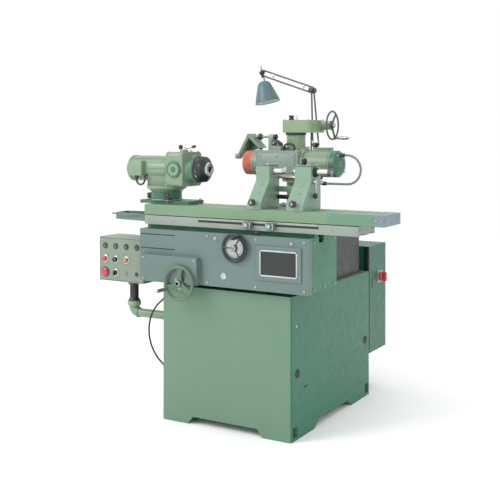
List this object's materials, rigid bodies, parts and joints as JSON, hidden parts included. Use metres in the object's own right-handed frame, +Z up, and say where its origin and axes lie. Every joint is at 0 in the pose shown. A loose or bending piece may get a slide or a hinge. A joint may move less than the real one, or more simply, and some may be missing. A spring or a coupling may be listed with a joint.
{
  "type": "universal tool grinding machine",
  "caption": "Universal tool grinding machine on a cabinet base: swivelling table, work head, tailstocks, wheel head on a column, lamp and control box.",
  "frame": {"origin": "on the floor, in the middle of the four anchor holes", "axes": "+X along the table to the right, +Y from the front to the back, +Z up"},
  "size_m": [1.392, 1.1536, 1.5308],
  "materials": {
    "pale_green_paint": "semi-gloss machine enamel, pale green",
    "dark_green_paint": "semi-gloss machine enamel, darker green",
    "grey_paint": "semi-gloss machine enamel, green grey",
    "black_paint": "black enamel",
    "shade_paint": "grey blue enamel",
    "steel": "ground and turned",
    "lamp_steel": "grey enamel",
    "black_rubber": "matte",
    "black_plastic": "moulded, glossy",
    "red_plastic": "moulded, glossy",
    "amber_plastic": "moulded, glossy",
    "lamp_green": "moulded lens caps, unlit",
    "abrasive": "bonded abrasive, open grained",
    "bulb_glass": "frosted"
  },
  "bodies": {
    "base": {"base_cabinet": "pale_green_paint", "lifting_plugs": "black_rubber", "electrical_cabinet": "dark_green_paint", "pedestal": "pale_green_paint", "column": "pale_green_paint", "top_arm": "pale_green_paint", "elbow_pipe": "pale_green_paint", "side_cable": "black_rubber"},
    "door": {"cabinet_door": "dark_green_paint"},
    "isolator": {"isolator_switch": "red_plastic"},
    "lift_screw": {"elevating_screw": "steel"},
    "lift_wheel": {"elevating_handwheel": "black_paint"},
    "sleeve": {"lift_sleeve": "steel"},
    "head": {"wheelhead": "pale_green_paint", "wheel_motor": "pale_green_paint", "motor_cover": "dark_green_paint", "motor_cable": "black_rubber"},
    "grinding_spindle": {"wheel_spindle": "steel", "grinding_wheel": "abrasive"},
    "guard": {"wheel_guard": "pale_green_paint"},
    "cross_slide": {"saddle": "dark_green_paint", "apron": "grey_paint", "blank_plate": "black_paint", "way_bellows": "black_rubber"},
    "stop": {"stop_plunger": "black_plastic"},
    "cross_feed": {"cross_handwheel": "grey_paint", "cross_screw": "steel"},
    "table_drive": {"table_handwheel": "black_paint", "table_pinion": "steel"},
    "table": {"lower_table": "grey_paint", "table_rack": "steel", "trip_dogs": "grey_paint", "end_tray": "grey_paint"},
    "swivel_table": {"upper_table": "pale_green_paint", "left_tailstock": "pale_green_paint", "right_tailstock": "pale_green_paint", "left_centre": "steel", "tailstock_knobs": "black_plastic", "workhead_base": "pale_green_paint", "workhead_nuts": "black_plastic"},
    "tail_quill": {"quill": "steel"},
    "tail_lever": {"quill_lever": "black_plastic"},
    "work_head": {"workhead_housing": "pale_green_paint", "workhead_motor": "pale_green_paint"},
    "head_clamp": {"clamp_lever": "black_plastic"},
    "index": {"index_plunger": "black_plastic"},
    "work_spindle_body": {"work_spindle": "steel", "spindle_nose": "black_paint"},
    "lamp_base": {"lamp_post": "black_paint"},
    "lamp_lower": {"lamp_lower_arm": "lamp_steel"},
    "lamp_upper": {"lamp_upper_arm": "lamp_steel"},
    "lamp_head": {"lamp_shade": "shade_paint", "lamp_bulb": "bulb_glass"},
    "panel": {"control_box": "pale_green_paint", "control_lamps": "lamp_green"},
    "button_left": {"push_button_left": "red_plastic"},
    "button_middle": {"push_button_middle": "black_plastic"},
    "button_right": {"push_button_right": "amber_plastic"},
    "stop_button": {"emergency_stop": "red_plastic"},
    "selector": {"selector_switch": "black_plastic"}
  },
  "joints": [
    {"name": "door_hinge", "type": "hinge", "parent": "base", "child": "door", "pos_m": [-0.1573, 0.588, 0.188], "axis": [0, 0, 1], "range_deg": [0, 110]},
    {"name": "isolator_turn", "type": "hinge", "parent": "base", "child": "isolator", "pos_m": [0.31, 0.525, 0.532], "axis": [1, 0, 0], "range_deg": [0, 90]},
    {"name": "lift_wheel_turn", "type": "hinge", "parent": "base", "child": "lift_wheel", "pos_m": [0, 0.185, 1.255], "axis": [1, 0, 0], "range_deg": [-5400, 4500]},
    {"name": "lift_screw_turn", "type": "hinge", "parent": "base", "child": "lift_screw", "pos_m": [0.07, 0.185, 0.9], "axis": [0, 0, 1], "continuous": true},
    {"name": "lift_slide", "type": "slide", "parent": "base", "child": "sleeve", "axis": [0, 0, 1], "range_m": [-0.06, 0.05]},
    {"name": "wheelhead_swivel", "type": "hinge", "parent": "sleeve", "child": "head", "pos_m": [0.07, 0.11, 1.087], "axis": [0, 0, 1], "range_deg": [-15, 15]},
    {"name": "grinding_spindle_turn", "type": "hinge", "parent": "head", "child": "grinding_spindle", "pos_m": [0, 0, 1.087], "axis": [1, 0, 0], "continuous": true},
    {"name": "guard_swing", "type": "hinge", "parent": "head", "child": "guard", "pos_m": [0, 0.015, 1.203], "axis": [1, 0, 0], "range_deg": [0, 60]},
    {"name": "cross_feed_turn", "type": "hinge", "parent": "cross_slide", "child": "cross_feed", "pos_m": [-0.175, 0, 0.6], "axis": [0, 1, 0], "range_deg": [-4320, 4320]},
    {"name": "cross_slide_travel", "type": "slide", "parent": "base", "child": "cross_slide", "axis": [0, 1, 0], "range_m": [-0.06, 0.06], "deforming": ["way_bellows"]},
    {"name": "stop_lift", "type": "slide", "parent": "cross_slide", "child": "stop", "axis": [0, 0, 1], "range_m": [0, 0.006], "stiffness_N_per_m": 300},
    {"name": "table_travel", "type": "slide", "parent": "cross_slide", "child": "table", "axis": [1, 0, 0], "range_m": [-0.25, 0.1]},
    {"name": "table_wheel_turn", "type": "hinge", "parent": "cross_slide", "child": "table_drive", "pos_m": [0.079, 0, 0.75913], "axis": [0, 1, 0], "continuous": true},
    {"name": "table_swivel", "type": "hinge", "parent": "table", "child": "swivel_table", "pos_m": [0.15, -0.3175, 0.87], "axis": [0, 0, 1], "range_deg": [-8, 8]},
    {"name": "quill_travel", "type": "slide", "parent": "swivel_table", "child": "tail_quill", "axis": [1, 0, 0], "range_m": [0, 0.02], "stiffness_N_per_m": 800},
    {"name": "quill_lever_turn", "type": "hinge", "parent": "swivel_table", "child": "tail_lever", "pos_m": [0.36, -0.3, 1.026], "axis": [1, 0, 0], "range_deg": [0, 40]},
    {"name": "work_head_swivel", "type": "hinge", "parent": "swivel_table", "child": "work_head", "pos_m": [-0.365, -0.287, 0.964], "axis": [0, 0, 1], "range_deg": [-90, 90]},
    {"name": "head_clamp_turn", "type": "hinge", "parent": "work_head", "child": "head_clamp", "pos_m": [-0.252, -0.31167, 1.146], "axis": [0, 0, 1], "range_deg": [0, 60]},
    {"name": "index_lift", "type": "slide", "parent": "work_head", "child": "index", "axis": [0, 0, 1], "range_m": [0, 0.008], "stiffness_N_per_m": 400},
    {"name": "work_spindle_turn", "type": "hinge", "parent": "work_head", "child": "work_spindle_body", "pos_m": [0, -0.287, 1.064], "axis": [1, 0, 0], "continuous": true},
    {"name": "lamp_post_swivel", "type": "hinge", "parent": "base", "child": "lamp_base", "pos_m": [0.077, 0.3, 1.145], "axis": [0, 0, 1], "range_deg": [-100, 100]},
    {"name": "lamp_lower_tilt", "type": "hinge", "parent": "lamp_base", "child": "lamp_lower", "pos_m": [0.077, 0.3, 1.1603], "axis": [0, 1, 0], "range_deg": [-45, 45]},
    {"name": "lamp_elbow_tilt", "type": "hinge", "parent": "lamp_lower", "child": "lamp_upper", "pos_m": [0.061, 0.3, 1.42151], "axis": [0, 1, 0], "range_deg": [-45, 60]},
    {"name": "lamp_shade_tilt", "type": "hinge", "parent": "lamp_upper", "child": "lamp_head", "pos_m": [-0.21574, 0.3, 1.51465], "axis": [0, 1, 0], "range_deg": [-4, 60]},
    {"name": "panel_swivel", "type": "hinge", "parent": "base", "child": "panel", "pos_m": [-0.545, -0.285, 0.46], "axis": [0, 0, 1], "range_deg": [-60, 60]},
    {"name": "left_button_press", "type": "slide", "parent": "panel", "child": "button_left", "axis": [0, 1, 0], "range_m": [0, 0.004], "stiffness_N_per_m": 400},
    {"name": "middle_button_press", "type": "slide", "parent": "panel", "child": "button_middle", "axis": [0, 1, 0], "range_m": [0, 0.004], "stiffness_N_per_m": 400},
    {"name": "right_button_press", "type": "slide", "parent": "panel", "child": "button_right", "axis": [0, 1, 0], "range_m": [0, 0.004], "stiffness_N_per_m": 400},
    {"name": "emergency_stop_press", "type": "slide", "parent": "panel", "child": "stop_button", "axis": [0, 1, 0], "range_m": [0, 0.004], "stiffness_N_per_m": 400},
    {"name": "selector_turn", "type": "hinge", "parent": "panel", "child": "selector", "pos_m": [-0.59588, -0.355, 0.59641], "axis": [0, 1, 0], "range_deg": [-45, 45]}
  ],
  "couplings": [
    {"joint": "lift_wheel_turn", "follows": "lift_slide", "rad_per_m": 1570.8},
    {"joint": "lift_screw_turn", "follows": "lift_slide", "rad_per_m": 1570.8},
    {"joint": "cross_feed_turn", "follows": "cross_slide_travel", "rad_per_m": 1256.6},
    {"joint": "table_wheel_turn", "follows": "table_travel", "rad_per_m": 25},
    {"joint": "quill_lever_turn", "follows": "quill_travel", "rad_per_m": 30}
  ]
}
